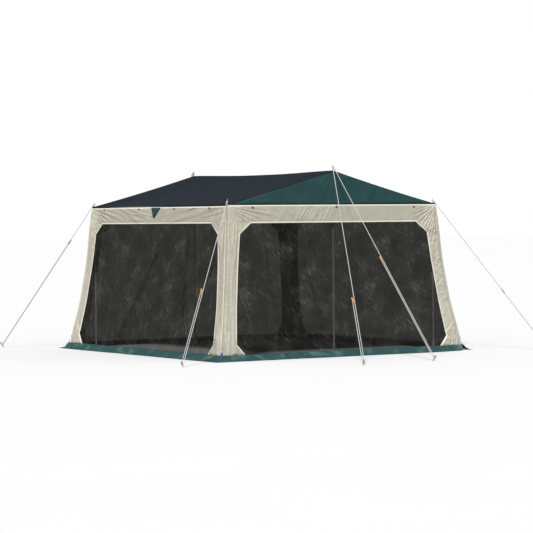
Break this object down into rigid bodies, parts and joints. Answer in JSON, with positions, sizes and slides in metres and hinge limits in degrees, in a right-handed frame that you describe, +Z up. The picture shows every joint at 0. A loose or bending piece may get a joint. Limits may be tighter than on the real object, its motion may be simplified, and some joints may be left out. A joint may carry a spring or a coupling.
{
  "type": "screen house",
  "caption": "Gabled camping screen house: dark roof on steel poles, beige walls with large mesh windows that swing up on the long sides, mud skirt and pegged guy lines.",
  "frame": {"origin": "on the ground at the middle of the house, under the middle of the ridge", "axes": "+Z up, +Y along the ridge towards the rear gable, +X across the ridge to the right when facing the rear"},
  "size_m": [5.1804, 6.9662, 2.2751],
  "materials": {
    "pole_steel": "satin grey steel tube",
    "slope_cloth": "dark slate navy coated polyester",
    "gable_cloth": "dark green coated polyester",
    "wall_cloth": "matt beige polyester",
    "window_mesh": "black insect mesh",
    "skirt_cloth": "dark green coated polyester",
    "rope_fibre": "white braided rope",
    "runner_plastic": "orange moulded plastic",
    "peg_steel": "plated steel rod",
    "zip_metal": "grey zip metal"
  },
  "bodies": {
    "root": {"main_pole_front_lower": "pole_steel", "main_pole_front_upper": "pole_steel", "corner_pole_front_left_lower": "pole_steel", "corner_pole_front_left_upper": "pole_steel", "corner_pole_front_right_lower": "pole_steel", "corner_pole_front_right_upper": "pole_steel", "main_pole_rear_lower": "pole_steel", "main_pole_rear_upper": "pole_steel", "corner_pole_rear_left_lower": "pole_steel", "corner_pole_rear_left_upper": "pole_steel", "corner_pole_rear_right_lower": "pole_steel", "corner_pole_rear_right_upper": "pole_steel", "front_wall_frame": "wall_cloth", "front_wall_mesh": "window_mesh", "front_skirt": "skirt_cloth", "roof_gable_front": "gable_cloth", "rear_wall_frame": "wall_cloth", "rear_wall_mesh": "window_mesh", "rear_skirt": "skirt_cloth", "roof_gable_rear": "gable_cloth", "roof_slope_left": "slope_cloth", "roof_slope_right": "slope_cloth", "guy_rope_front_left": "rope_fibre", "guy_peg_front_left": "peg_steel", "guy_rope_front_right": "rope_fibre", "guy_peg_front_right": "peg_steel", "guy_rope_front_ridge_a": "rope_fibre", "guy_peg_front_ridge_a": "peg_steel", "guy_rope_front_ridge_b": "rope_fibre", "guy_peg_front_ridge_b": "peg_steel", "guy_rope_rear_right": "rope_fibre", "guy_peg_rear_right": "peg_steel", "guy_rope_rear_left": "rope_fibre", "guy_peg_rear_left": "peg_steel", "guy_rope_rear_ridge_a": "rope_fibre", "guy_peg_rear_ridge_a": "peg_steel", "guy_rope_rear_ridge_b": "rope_fibre", "guy_peg_rear_ridge_b": "peg_steel"},
    "left_wall": {"left_wall_frame": "wall_cloth", "left_wall_mesh": "window_mesh", "left_skirt": "skirt_cloth"},
    "left_tab": {"left_eave_tab": "gable_cloth"},
    "right_wall": {"right_wall_frame": "wall_cloth", "right_wall_mesh": "window_mesh", "right_skirt": "skirt_cloth"},
    "right_tab": {"right_eave_tab": "gable_cloth"},
    "zip_front_left": {"zip_pull_front_left": "zip_metal"},
    "zip_front_right": {"zip_pull_front_right": "zip_metal"},
    "zip_rear_left": {"zip_pull_rear_left": "zip_metal"},
    "zip_rear_right": {"zip_pull_rear_right": "zip_metal"},
    "slider_front_left": {"guy_slider_front_left": "runner_plastic"},
    "slider_front_right": {"guy_slider_front_right": "runner_plastic"},
    "slider_front_ridge_a": {"guy_slider_front_ridge_a": "runner_plastic"},
    "slider_front_ridge_b": {"guy_slider_front_ridge_b": "runner_plastic"},
    "slider_rear_right": {"guy_slider_rear_right": "runner_plastic"},
    "slider_rear_left": {"guy_slider_rear_left": "runner_plastic"},
    "slider_rear_ridge_a": {"guy_slider_rear_ridge_a": "runner_plastic"},
    "slider_rear_ridge_b": {"guy_slider_rear_ridge_b": "runner_plastic"}
  },
  "joints": [
    {"name": "left_wall_swing", "type": "hinge", "parent": "root", "child": "left_wall", "pos_m": [-1.5015, 0, 1.788], "axis": [0, 1, 0], "range_deg": [0, 80]},
    {"name": "left_tab_flap", "type": "hinge", "parent": "left_wall", "child": "left_tab", "pos_m": [-1.50845, 0, 1.78081], "axis": [0, 1, 0], "range_deg": [0, 45]},
    {"name": "right_wall_swing", "type": "hinge", "parent": "root", "child": "right_wall", "pos_m": [1.5015, 0, 1.788], "axis": [0, -1, 0], "range_deg": [0, 80]},
    {"name": "right_tab_flap", "type": "hinge", "parent": "right_wall", "child": "right_tab", "pos_m": [1.50845, 0, 1.78081], "axis": [0, -1, 0], "range_deg": [0, 45]},
    {"name": "zip_run_front_left", "type": "slide", "parent": "root", "child": "zip_front_left", "axis": [0.1241, 0.1241, 0.9845], "range_m": [0, 1.45]},
    {"name": "zip_run_front_right", "type": "slide", "parent": "root", "child": "zip_front_right", "axis": [-0.1241, 0.1241, 0.9845], "range_m": [0, 1.45]},
    {"name": "zip_run_rear_left", "type": "slide", "parent": "root", "child": "zip_rear_left", "axis": [0.1241, -0.1241, 0.9845], "range_m": [0, 1.45]},
    {"name": "zip_run_rear_right", "type": "slide", "parent": "root", "child": "zip_rear_right", "axis": [-0.1241, -0.1241, 0.9845], "range_m": [0, 1.45]},
    {"name": "slide_front_left", "type": "slide", "parent": "root", "child": "slider_front_left", "axis": [0.4753, 0.3493, 0.8075], "range_m": [0, 0.25]},
    {"name": "slide_front_right", "type": "slide", "parent": "root", "child": "slider_front_right", "axis": [-0.4306, 0.4281, 0.7946], "range_m": [0, 0.25]},
    {"name": "slide_front_ridge_a", "type": "slide", "parent": "root", "child": "slider_front_ridge_a", "axis": [0.2774, 0.6099, 0.7424], "range_m": [0, 0.25]},
    {"name": "slide_front_ridge_b", "type": "slide", "parent": "root", "child": "slider_front_ridge_b", "axis": [-0.0781, 0.6076, 0.7904], "range_m": [0, 0.25]},
    {"name": "slide_rear_right", "type": "slide", "parent": "root", "child": "slider_rear_right", "axis": [-0.4753, -0.3493, 0.8075], "range_m": [0, 0.25]},
    {"name": "slide_rear_left", "type": "slide", "parent": "root", "child": "slider_rear_left", "axis": [0.3985, -0.4139, 0.8185], "range_m": [0, 0.25]},
    {"name": "slide_rear_ridge_a", "type": "slide", "parent": "root", "child": "slider_rear_ridge_a", "axis": [-0.2774, -0.6099, 0.7424], "range_m": [0, 0.25]},
    {"name": "slide_rear_ridge_b", "type": "slide", "parent": "root", "child": "slider_rear_ridge_b", "axis": [0.0781, -0.6076, 0.7904], "range_m": [0, 0.25]}
  ]
}
